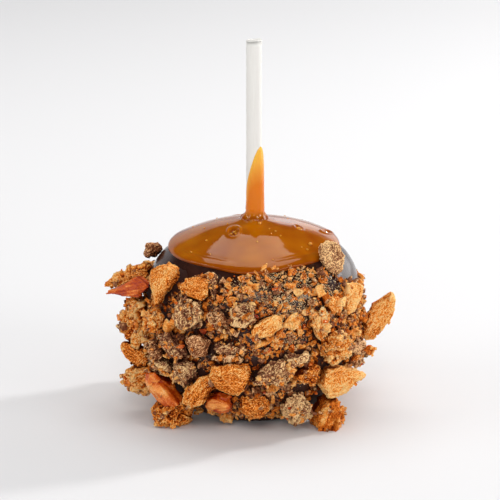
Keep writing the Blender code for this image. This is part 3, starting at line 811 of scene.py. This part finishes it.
# The room round the apple in small cells, to tell how crowded each place is
CELL = 0.8
ROOM_LOW = np.array((-66.0, -60.0, -8.0))
ROOM_CELLS = (166, 150, 120)
# How far off, and which ways, the cells round a place are looked at
NEAR_STEPS = (1.0, 1.9, 2.9, 4.1, 5.6)
WAYS = np.array([way for way in itertools.product((-1, 0, 1), repeat=3) if any(way)], float)
WAYS /= np.linalg.norm(WAYS, axis=1)[:, None]


def cell_of(points):
    """The cell that each point is in, or the nearest one."""
    cell = ((points - ROOM_LOW) / CELL).astype(int)
    return tuple(np.clip(cell, 0, np.array(ROOM_CELLS) - 1).T)


def filled_cells():
    """The cells that lie in the coated apple. Candy is added as it is put on."""
    middles = np.stack(np.meshgrid(*(np.arange(count) for count in ROOM_CELLS), indexing="ij"), axis=-1)
    x, y, height = np.moveaxis(middles * CELL + ROOM_LOW + CELL / 2, -1, 0)
    reach = np.hypot(x, y)
    return (reach < coat_radius(height) - 0.4) & (height < coat_height(reach) - 0.4) & (height > 0)


def crowded(points, normals, filled):
    """The part of what each point faces that is blocked close by, from 0 to 1."""
    blocked = np.zeros(len(points))
    faced = np.zeros(len(points))
    start = points + 1.1 * normals
    for way in WAYS:
        share = np.maximum(0, normals @ way)
        hit = np.zeros(len(points), bool)
        for step in NEAR_STEPS:
            hit |= filled[cell_of(start + way * step)]
        blocked += share * hit
        faced += share
    return blocked / faced


finishes = {kind: candy_finish(kind) for kind in CANDY_COLOURS}
clean_finishes = {kind: candy_finish(kind, clean=True) for kind in CANDY_COLOURS if kind != "dust"}
kind_of = {part["node"]: part["material_slot"] for part in frame["record"]["subparts"]}
layers = {"coat": [(coat_points, coat_faces)], "pieces": [], "clean pieces": [], "bits": []}
filled = filled_cells()
worked = []
for seed, (node, kind) in enumerate(sorted(kind_of.items())):
    if kind not in CANDY_COLOURS:
        continue
    points, normals, faces = gridded(node, BACK_GRID if node.startswith("back") else PIECE_GRID)
    clean = node in CLEAN_PIECES
    rougher = CRUMBLY if node in CRUMBLY_PIECES else CLEAN if clean else 1.0
    chip_share = CLEAN_CHIPS if clean else 1.0
    points, tone, pit = work_surface(points, normals, faces, kind, 11 * seed, rougher, chip_share)
    points[:, 2] = np.maximum(points[:, 2], OFF_TABLE)
    filled[cell_of(points)] = True
    worked.append((node, kind, points, normals, faces, tone + PIECE_TONES.get(node, 0.0), pit))
    layers["clean pieces" if clean else "pieces"].append((points, faces))
# The chocolate is dull between the pieces and low down, where candy has rubbed it
coat_skin = np.array([(vert.co / MM, vert.normal) for vert in coat.data.vertices])
low = smooth(9, 4, coat_skin[:, 0, 2])
dull = np.maximum(low, smooth(0.15, 0.6, crowded(coat_skin[:, 0], coat_skin[:, 1], filled)))
coat.data.attributes.new("dull", "FLOAT", "POINT").data.foreach_set("value", dull.astype(np.float32))
for node, kind, points, normals, faces, tone, pit in worked:
    crowd = crowded(points, normals, filled)
    # Painted shade where other candy crowds round and blocks the light, painted light where it stands clear,
    # and the pit shade painted into the most crowded places
    tone = tone + CROWDED_PAINTED_SHADE * (0.30 - crowd)
    pit = np.maximum(pit, 0.90 * smooth(0.50, 0.95, crowd))
    finish = (clean_finishes if node in CLEAN_PIECES else finishes)[FINISH_LIKE.get(node, kind)]
    add_piece("candy_" + node, points, faces, finish, kind, [node], tone=tone, pit=pit)

# ---- The loose bits --------------------------------------------------------------------
# Between the large pieces the chocolate holds smaller bits of the same candy: flakes,
# chips and splinters of 2 to 6 mm, crumbs, and a pale dust that shows on the dark coat.
BIT_MIX = {"brittle": 0.64, "dusted": 0.16, "chocolate": 0.15, "glazed": 0.05}
# Shapes that bits are broken in: width and thickness to length, bend, and how common each is
BIT_SHAPES = {
    "flake": (0.68, 0.26, 0.30, 0.52),
    "chip": (0.76, 0.52, 0.0, 0.30),
    "splinter": (0.38, 0.32, 0.12, 0.18),
}
BIT_FORMS = 9
# Painted highlight: how much paler a bit is on its rim, and darker in its middle
RIM_PAINTED_LIGHT = 0.22
# Each round of rolling: bits of what length, how many tries, how close together, and how
# often a bit stays that lands on the coat, on a large piece, on a clean one, or on a bit
LARGE_ROUND = (3.4, 6.2, 3000, 0.30, (1.0, 0.10, 0.0, 0.0))
SMALL_ROUND = (1.7, 3.6, 15000, 0.23, (1.0, 0.25, 0.02, 0.5))
CRUMB_ROUND = (0.7, 1.6, 13000, 0.2, (1.0, 0.45, 0.06, 0.6))
DUST_ROUND = (0.30, 0.70, 11000, 0.0, (1.0, 0.5, 0.12, 0.4))
FINE_ROUND = (0.35, 0.80, 4500, 0.0, (1.0, 0.5, 0.12, 0.4))
# The part of its own height that a bit is sunk, and how far it may be tipped, in degrees
BIT_SUNK = 0.22
BIT_TIP = 65
# Bits are thrown at the apple's middle height, and from farther up or down less straight
AIM_HEIGHT = 38.0
AIM_SLOPE = 40.0
THROWN_FROM = 40
# The candy's lower edge, and its upper edge: degrees round from the front, height
CANDY_FOOT = 3.5
CANDY_EDGE = (
    (-180, 50.0), (-80, 51.0), (-62, 58.5), (-45, 58.0), (-30, 60.5), (-18, 59.0), (-8, 60.5), (0, 62.5),
    (30, 63.0), (45, 60.5), (56, 56.5), (66, 53.5), (75, 52.0), (90, 50.0), (180, 50.0),
)
# Spots are ovals laid on a round of this radius
SPOT_RADIUS = 41
# Gaps that show bare chocolate: degrees, height, half width and half height in mm
BARE_SPOTS = (
    (-48, 28.4, 4.0, 2.8), (-31, 24.6, 3.2, 2.4), (-13, 16.9, 7.0, 2.4), (-40, 6.0, 5.0, 4.5),
    (-24, 32.8, 1.8, 2.5), (0.5, 31.3, 1.6, 1.8), (11.5, 30.8, 1.6, 1.6), (22.5, 25.8, 1.8, 2.4),
    (29, 17.2, 5.5, 2.5), (35, 25.8, 3.0, 2.3), (73, 25.4, 5.0, 3.5), (-43, 58.9, 4.5, 2.0),
    (-10, 60.6, 1.6, 2.0), (50.5, 55.6, 4.2, 2.6), (110, 30, 4.0, 2.5), (140, 18, 5.0, 2.4),
    (165, 42, 3.0, 2.0), (-115, 36, 3.5, 2.2), (-140, 14, 5.0, 2.5), (-165, 28, 3.0, 2.0),
    (-95, 47, 3.5, 2.0),
)
# Where mostly fine crumbs lie on the chocolate: degrees, height, half width, half height
FINE_SPOTS = ((15, 58, 18, 5), (20, 49, 12, 5.5), (47, 55, 6, 3.2), (15.5, 39, 3.6, 2.7), (170, 46, 10, 4))
# The share of the larger bits that stays there
FINE_SHARE = 0.5
# Bits that the eye picks out: kind, shape, degrees, height, length, spin, tone
SINGLE_BITS = (
    ("brittle", "chip", -45.5, 40.5, 8.5, 20, 0.10),
    ("brittle", "chip", -70, 8.0, 7.0, 80, 0.0),
    ("brittle", "chip", -21, 4.2, 7.0, 15, 0.15),
    ("brittle", "flake", 14, 8.6, 6.5, 60, 0.0),
    ("brittle", "flake", 67, 11.5, 5.4, 0, 0.15),
    ("brittle", "flake", 35.5, 54.6, 7.7, 80, 0.25),
    ("brittle", "chip", 22, 20.8, 4.4, 40, 0.25),
    ("brittle", "flake", 4, 37.1, 9.6, 10, 0.10),
    ("brittle", "flake", 18.5, 45.7, 9.0, 30, 0.15),
    ("brittle", "flake", -9, 58.0, 5.0, 10, 0.10),
    ("brittle", "flake", -2, 58.6, 6.0, 160, 0.20),
    ("brittle", "chip", 62, 35.0, 6.5, 70, 0.15),
    ("brittle", "flake", -5.5, 57.0, 5.8, 20, 0.12),
    ("brittle", "chip", 1.0, 57.6, 4.4, 80, 0.10),
    ("brittle", "flake", 23.5, 55.2, 7.4, 38, 0.28),
    ("brittle", "flake", 36.5, 54.4, 7.6, 95, 0.12),
    ("brittle", "chip", 44.5, 49.5, 5.4, 60, 0.28),
    ("brittle", "flake", 19.5, 44.6, 8.6, 12, 0.12),
    ("brittle", "flake", -1.0, 52.3, 3.4, 150, 0.42),
    ("brittle", "splinter", -24.5, 47.2, 6.6, 92, 0.05),
    ("brittle", "splinter", -17.5, 50.0, 8.6, 105, 0.06),
    ("brittle", "flake", -7.5, 46.0, 5.2, 75, 0.08),
    ("brittle", "flake", -15.0, 40.2, 5.6, 25, 0.10),
    ("glazed", "flake", -25.5, 41.0, 5.0, 160, 0.0),
    ("brittle", "chip", 10.8, 52.5, 2.8, 0, 0.10),
    ("brittle", "flake", -10.5, 57.5, 3.2, 30, 0.05),
    ("brittle", "flake", -11.5, 54.2, 4.0, 0, 0.06),
    ("chocolate", "chip", -18.5, 59.0, 4.6, 80, 0.15),
)


def unit_bit(shape, seed, corners, cuts):
    """One broken bit, 1 long: a convex splinter of candy with worked faces."""
    wide, thick, bent, _ = BIT_SHAPES[shape]
    draw = np.random.default_rng(seed)
    around = np.sort(draw.uniform(0, 2 * math.pi, corners))
    out = draw.uniform(0.72, 1.0, corners)
    edge = np.stack([np.cos(around) * out, np.sin(around) * out], axis=-1) * (0.5, wide / 2)
    level = draw.uniform(0.35, 0.5, (2, corners)) * thick
    low = np.column_stack([edge * draw.uniform(0.5, 1.0, (corners, 1)), -level[0]])
    high = np.column_stack([edge * draw.uniform(0.6, 1.0, (corners, 1)), level[1]])
    form = bmesh.new()
    for point in np.concatenate([low, high]):
        form.verts.new(point)
    made = bmesh.ops.convex_hull(form, input=form.verts)
    bmesh.ops.delete(form, geom=made["geom_interior"], context="VERTS")
    bmesh.ops.triangulate(form, faces=form.faces)
    if cuts:
        bmesh.ops.subdivide_edges(form, edges=form.edges, cuts=cuts, use_grid_fill=True)
        bmesh.ops.triangulate(form, faces=form.faces)
    form.normal_update()
    form.verts.index_update()
    normals = np.array([vert.normal for vert in form.verts])
    points, faces = taken_from(form)
    rim = np.hypot(points[:, 0] / 0.5, points[:, 1] / (wide / 2)).clip(0, 1)
    rough = 0.07 * waves(points, 0.30, seed) + 0.05 * waves(points, 0.13, seed + 1)
    points = points + normals * rough[:, None] * (1 if cuts else 0.5)
    points[:, 2] += bent * (points[:, 0] ** 2 - 0.08)
    # The last is the painted highlight on the bit's rim, with painted shade in its middle
    return points, faces, RIM_PAINTED_LIGHT * (rim - 0.6)


def turned(out, spin, tilt, toward):
    """Axes for a bit that lies on a face: out of the face, turned by spin, tipped by tilt."""
    side = np.cross((0, 0, 1.0) if abs(out[2]) < 0.9 else (1.0, 0, 0), out)
    side /= np.linalg.norm(side)
    up = np.cross(out, side)
    along = side * math.cos(spin) + up * math.sin(spin)
    tipped = out * math.cos(tilt) + (side * math.cos(toward) + up * math.sin(toward)) * math.sin(tilt)
    along = along - tipped * (along @ tipped)
    along /= np.linalg.norm(along)
    return np.stack([along, np.cross(tipped, along), tipped])


class Ground:
    """What the next bits fall on: the coat, the pieces, and the bits stuck on so far."""

    def __init__(self, layers):
        meshes = [mesh for meshes in layers.values() for mesh in meshes]
        starts = np.cumsum([0] + [len(points) for points, _ in meshes])
        faces = [face for start, mesh in zip(starts, meshes) for face in (mesh[1] + start).tolist()]
        self.ends = np.cumsum([sum(len(faces) for _, faces in meshes) for meshes in layers.values()])
        self.tree = BVHTree.FromPolygons(np.concatenate([points for points, _ in meshes]).tolist(), faces)

    def land(self, turn, height):
        """Where a bit that is pressed on at a turn and height meets the apple: the place,
        the way the surface faces, and what is there: 0 the coat, 1 a piece, 2 a clean one,
        3 a bit."""
        radius = float(coat_radius(height))
        out = np.array([math.sin(turn), -math.cos(turn), (height - AIM_HEIGHT) / AIM_SLOPE])
        out /= np.linalg.norm(out)
        start = np.array([radius * math.sin(turn), -radius * math.cos(turn), height]) + out * THROWN_FROM
        place, facing, face, _ = self.tree.ray_cast(Vector(start), Vector(-out))
        if place is None:
            return None, None, 0
        facing = np.array(facing)
        if facing @ out < 0:
            facing = -facing
        return np.array(place), facing, int(np.searchsorted(self.ends, face, side="right"))


class Heap:
    """Many bits joined into one mesh."""

    def __init__(self):
        self.points, self.faces, self.tones, self.count = [], [], [], 0

    def drop(self, form, axes, place, facing, size, tone):
        """Sets a bit on a surface, sunk in it by a part of its own height."""
        points = form[0] * size @ axes
        heights = points @ facing
        points += place - facing * (heights.min() + BIT_SUNK * np.ptp(heights))
        points[:, 2] = np.maximum(points[:, 2], OFF_TABLE)
        self.points.append(points)
        self.faces.append(form[1] + self.count)
        self.tones.append(tone + form[2])
        self.count += len(points)

    def joined(self):
        return np.concatenate(self.points), np.concatenate(self.faces), np.concatenate(self.tones)


def inside_spot(spots, turn, height):
    """If a place is in one of the oval spots on the coat."""
    for at, middle, half_width, half_height in spots:
        aside = math.radians((math.degrees(turn) - at + 180) % 360 - 180) * SPOT_RADIUS
        if (aside / half_width) ** 2 + ((height - middle) / half_height) ** 2 < 1:
            return True
    return False


def anywhere(draw):
    """A random place on the sides, up to just over the candy's edge."""
    degrees = draw.uniform(-180, 180)
    return degrees, draw.uniform(CANDY_FOOT, np.interp(degrees, *zip(*CANDY_EDGE)) + 0.8)


def in_fine_spots(draw):
    """A random place in or just round one of the fine spots."""
    areas = [half_width * half_height for _, _, half_width, half_height in FINE_SPOTS]
    at, middle, half_width, half_height = draw.choices(FINE_SPOTS, areas)[0]
    angle = draw.uniform(0, 2 * math.pi)
    out = 1.1 * math.sqrt(draw.random())
    degrees = at + math.degrees(half_width * out * math.cos(angle) / SPOT_RADIUS)
    return degrees, middle + half_height * out * math.sin(angle)


def scatter(round_of, forms, heaps, mix, ground, draw, fine_share, bare_share=0.0, where=anywhere):
    """Rolls the apple in bits of one size: each lands at a random place and stays or not."""
    shortest, longest, tries, close, stays = round_of
    places = np.full((tries, 3), 1e6)
    sizes = np.zeros(tries)
    for count in range(tries):
        degrees, height = where(draw)
        turn = math.radians(degrees)
        long = shortest + (longest - shortest) * draw.random() ** 1.5
        kind = draw.choices(list(mix), mix.values())[0]
        shape = draw.choices(list(forms), [BIT_SHAPES[shape][3] for shape in forms])[0]
        form = draw.choice(forms[shape])
        stay, tilt, toward, spin, tone = (draw.random() for _ in range(5))
        share = 1.0
        if inside_spot(FINE_SPOTS, turn, height):
            share = fine_share
        if inside_spot(BARE_SPOTS, turn, height):
            share = bare_share
        if draw.random() > share:
            continue
        place, facing, what = ground.land(turn, height)
        if place is None or stay > stays[what]:
            continue
        if (np.linalg.norm(places - place, axis=1) < close * (sizes + long)).any():
            continue
        places[count] = place
        sizes[count] = long
        axes = turned(facing, 6.28 * spin, math.radians(BIT_TIP) * tilt, 6.28 * toward)
        heaps[kind].drop(form, axes, place, facing, long, 0.27 + 0.48 * tone)


def work_bits(points, kind, tones, seed):
    """Tone marks, and marks of painted shade in the pits between the grains, for loose bits."""
    by_grain, by_speck, _ = CANDY_MOTTLE[kind]
    far, number, _ = grains(points, BIT_GRAIN_SIZE, seed)
    speck = np.random.default_rng(seed).normal(size=len(points)).clip(-2, 2)
    # The second mark is painted shade in the pits between the grains
    return tones + by_grain * (number - 0.5) + 0.5 * by_speck * speck, 0.7 * smooth(0.65, 1.0, far)


def add_heaps(heaps, name, first_seed, layer="bits"):
    """Makes one piece of each kind's heap. What is thrown later lands on that layer."""
    for seed, (kind, heap) in enumerate(heaps.items()):
        if not heap.count:
            continue
        points, faces, tones = heap.joined()
        tone, pit = work_bits(points, kind, tones, first_seed + seed)
        filled[cell_of(points)] = True
        outward = points - (0, 0, AIM_HEIGHT)
        outward /= np.linalg.norm(outward, axis=1)[:, None]
        crowd = crowded(points, outward, filled)
        # Painted shade where other candy crowds round and blocks the light, painted light where it stands
        # clear, and the pit shade painted into the most crowded places
        tone = tone + CROWDED_PAINTED_SHADE * (0.25 - crowd)
        pit = np.maximum(pit, 0.88 * smooth(0.42, 0.85, crowd))
        slot = "dusted" if kind == "dust" else kind
        add_piece(name + kind, points, faces, finishes[kind], slot, crisp=True, tone=tone, pit=pit)
        layers[layer].append((points, faces))


def shapes_of(shapes, corners, cuts=0):
    """Some forms of each shape, all with that many corners round the rim."""
    seeds = [100 * number + 7 * corners for number in range(BIT_FORMS)]
    return {shape: [unit_bit(shape, seed, corners, cuts) for seed in seeds] for shape in shapes}


def new_heaps():
    return {kind: Heap() for kind in CANDY_COLOURS}


def roll(name, first_seed, round_of, forms, fine_share):
    """Rolls the apple once in mixed bits of one size."""
    heaps = new_heaps()
    scatter(round_of, forms, heaps, BIT_MIX, Ground(layers), draw, fine_share)
    add_heaps(heaps, name, first_seed)


draw = random.Random(11)
large_forms = shapes_of(BIT_SHAPES, 7, cuts=1)
roll("large_bits_of_", 500, LARGE_ROUND, large_forms, FINE_SHARE)
roll("small_bits_of_", 510, SMALL_ROUND, shapes_of(BIT_SHAPES, 9), FINE_SHARE)

heaps = new_heaps()
ground = Ground(layers)
for kind, shape, degrees, height, long, spin, tone in SINGLE_BITS:
    place, facing, _ = ground.land(math.radians(degrees), height)
    axes = turned(facing, math.radians(spin), math.radians(draw.uniform(0, 16)), draw.uniform(0, 6.28))
    heaps[kind].drop(draw.choice(large_forms[shape]), axes, place, facing, long, 0.55 + tone)
add_heaps(heaps, "flakes_of_", 515, "clean pieces")
roll("crumbs_of_", 520, CRUMB_ROUND, shapes_of(BIT_SHAPES, 4), 1.0)

heaps = new_heaps()
ground = Ground(layers)
specks = shapes_of(["chip"], 3)
scatter(DUST_ROUND, specks, heaps, {"dust": 1.0}, ground, draw, 1.0, 0.15)
scatter(FINE_ROUND, specks, heaps, {"dust": 1.0}, ground, draw, 1.0, 0.4, in_fine_spots)
add_heaps(heaps, "pale_", 530)

# ---- The floor, the lights and the camera ----------------------------------------------
# A white table in a small photo studio: a large softbox over and behind the apple, lamps and
# boards round it, a soft fill low in front, a white ceiling, and a pale horizon all round.
EYE_HEIGHT = 62.0
EYE_ASIDE = -1.54
EYE_AWAY = 1000.0
EYE_PITCH = math.radians(15.5)
LENS = 187.5
TABLE_WHITE = (0.758, 0.760, 0.772)
TABLE_REACH = 60000.0
# The table glows more the farther out it is, up to the horizon's white, so that no edge shows
TABLE_NEAR = 900.0
TABLE_FAR = 2600.0
FAR_GLOW = 0.27
# The lamps and boards stand this far from the apple's foot, and are aimed over it
LAMP_AWAY = 1300.0
LAMP_AIM = (0, 0, 40)
# Each light: degrees round from +X towards the back, degrees up, width and height in mm,
# power in watts, and if it is seen in glossy surfaces
LAMPS = {
    "right_back_light": (28, 27, 130, 130, 8.4, True),
    "right_front_light": (-34, 24, 600, 180, 3.9, True),
    "left_light": (194, 26, 800, 180, 3.2, True),
    "front_light": (268, 38, 420, 420, 2.6, True),
    "right_board": (45, 12, 700, 420, 1.9, True),
    "back_board": (76, 13, 700, 350, 0.6, True),
    "low_front_light": (262, 14, 700, 500, 2.7, False),
}
LAMP_WHITE = (1.0, 0.99, 0.98)
# The white ceiling is a light as wide as this many degrees of sky
CEILING_POWER = 0.95
CEILING_WIDTH = 110.0
SOFTBOX_HEIGHT = 1000.0
SOFTBOX_CENTRE = (-70.0, 413.0)
SOFTBOX_SIZE = (900, 600)
SOFTBOX_TURN = -16.0
SOFTBOX_WATTS = 4.25
# Glossy surfaces mirror a pale horizon and, from this far up, the dark room over the lamps
HORIZON_WHITE = (0.58, 0.58, 0.60)
ROOM_DARK = (0.04, 0.04, 0.04)
HORIZON_LOW = 0.33
HORIZON_HIGH = 0.41


def add_light(name, at, aim, size, watts, mirrored=True, turn=0.0):
    """A soft light: a rectangle of size (width, height) in mm, aimed at a point and turned by
    degrees about its aim. If not mirrored, it isn't seen in glossy surfaces."""
    lamp = bpy.data.lights.new(name, "AREA")
    lamp.shape = "RECTANGLE"
    lamp.size = size[0] * MM
    lamp.size_y = size[1] * MM
    lamp.energy = watts
    lamp.color = LAMP_WHITE
    holder = bpy.data.objects.new(name, lamp)
    holder.location = Vector(at) * MM
    aimed = (Vector(aim) - Vector(at)).to_track_quat("-Z", "Y")
    holder.rotation_euler = (aimed @ Quaternion((0, 0, 1), math.radians(turn))).to_euler()
    holder.visible_glossy = mirrored
    holder.visible_camera = False
    show(holder)


white, tree, shader = new_finish("white_table", Roughness=0.8, Specular_IOR_Level=0.0)
shader.inputs["Base Color"].default_value = (*TABLE_WHITE, 1)
place = add_node(tree, "TexCoord").outputs["Object"]
out = add_node(tree, "VectorMath", {0: place}, operation="LENGTH").outputs["Value"]
far_out = {"Value": out, "From Min": TABLE_NEAR * MM, "From Max": TABLE_FAR * MM, "To Max": FAR_GLOW}
tree.links.new(add_node(tree, "MapRange", far_out).outputs[0], shader.inputs["Emission Strength"])
shader.inputs["Emission Color"].default_value = (1, 1, 1, 1)
mesh = bpy.data.meshes.new("white_table")
far = TABLE_REACH * MM
mesh.from_pydata([(-far, -far, 0), (far, -far, 0), (far, far, 0), (-far, far, 0)], [], [(0, 1, 2, 3)])
mesh.materials.append(white)
table = bpy.data.objects.new("white_table", mesh)
show(table)

for name, (round_from, up, width, height, watts, mirrored) in LAMPS.items():
    flat = LAMP_AWAY * math.cos(math.radians(up))
    round_from = math.radians(round_from)
    at = (flat * math.cos(round_from), flat * math.sin(round_from), LAMP_AWAY * math.sin(math.radians(up)))
    add_light(name, at, LAMP_AIM, (width, height), watts, mirrored)
over = (*SOFTBOX_CENTRE, SOFTBOX_HEIGHT)
add_light("top_softbox", over, (*SOFTBOX_CENTRE, 0), SOFTBOX_SIZE, SOFTBOX_WATTS, turn=SOFTBOX_TURN)

glow = bpy.data.lights.new("white_ceiling", "SUN")
glow.energy = CEILING_POWER
glow.angle = math.radians(CEILING_WIDTH)
glow.color = LAMP_WHITE
ceiling = bpy.data.objects.new("white_ceiling", glow)
ceiling.location = (0, 0, 2)
ceiling.visible_glossy = False
show(ceiling)

world = bpy.data.worlds.new("light_tent")
world.use_nodes = True
sky = world.node_tree
place = add_node(sky, "TexCoord").outputs["Generated"]
height = add_node(sky, "SeparateXYZ", {"Vector": place}).outputs["Z"]
tent = ramp_node(sky, height, ((HORIZON_LOW, HORIZON_WHITE), (HORIZON_HIGH, ROOM_DARK)))
sky.links.new(tent, sky.nodes["Background"].inputs["Color"])
bpy.context.scene.world = world
bpy.context.scene.view_settings.view_transform = "Standard"

lens = bpy.data.cameras.new("camera")
lens.lens = LENS
lens.sensor_width = 36.0
lens.clip_end = 200.0
camera = bpy.data.objects.new("camera", lens)
looking = Vector((0, math.cos(EYE_PITCH), -math.sin(EYE_PITCH)))
camera.location = (Vector((EYE_ASIDE, 0, EYE_HEIGHT)) - looking * EYE_AWAY) * MM
camera.rotation_euler = looking.to_track_quat("-Z", "Y").to_euler()
show(camera)
bpy.context.scene.camera = camera
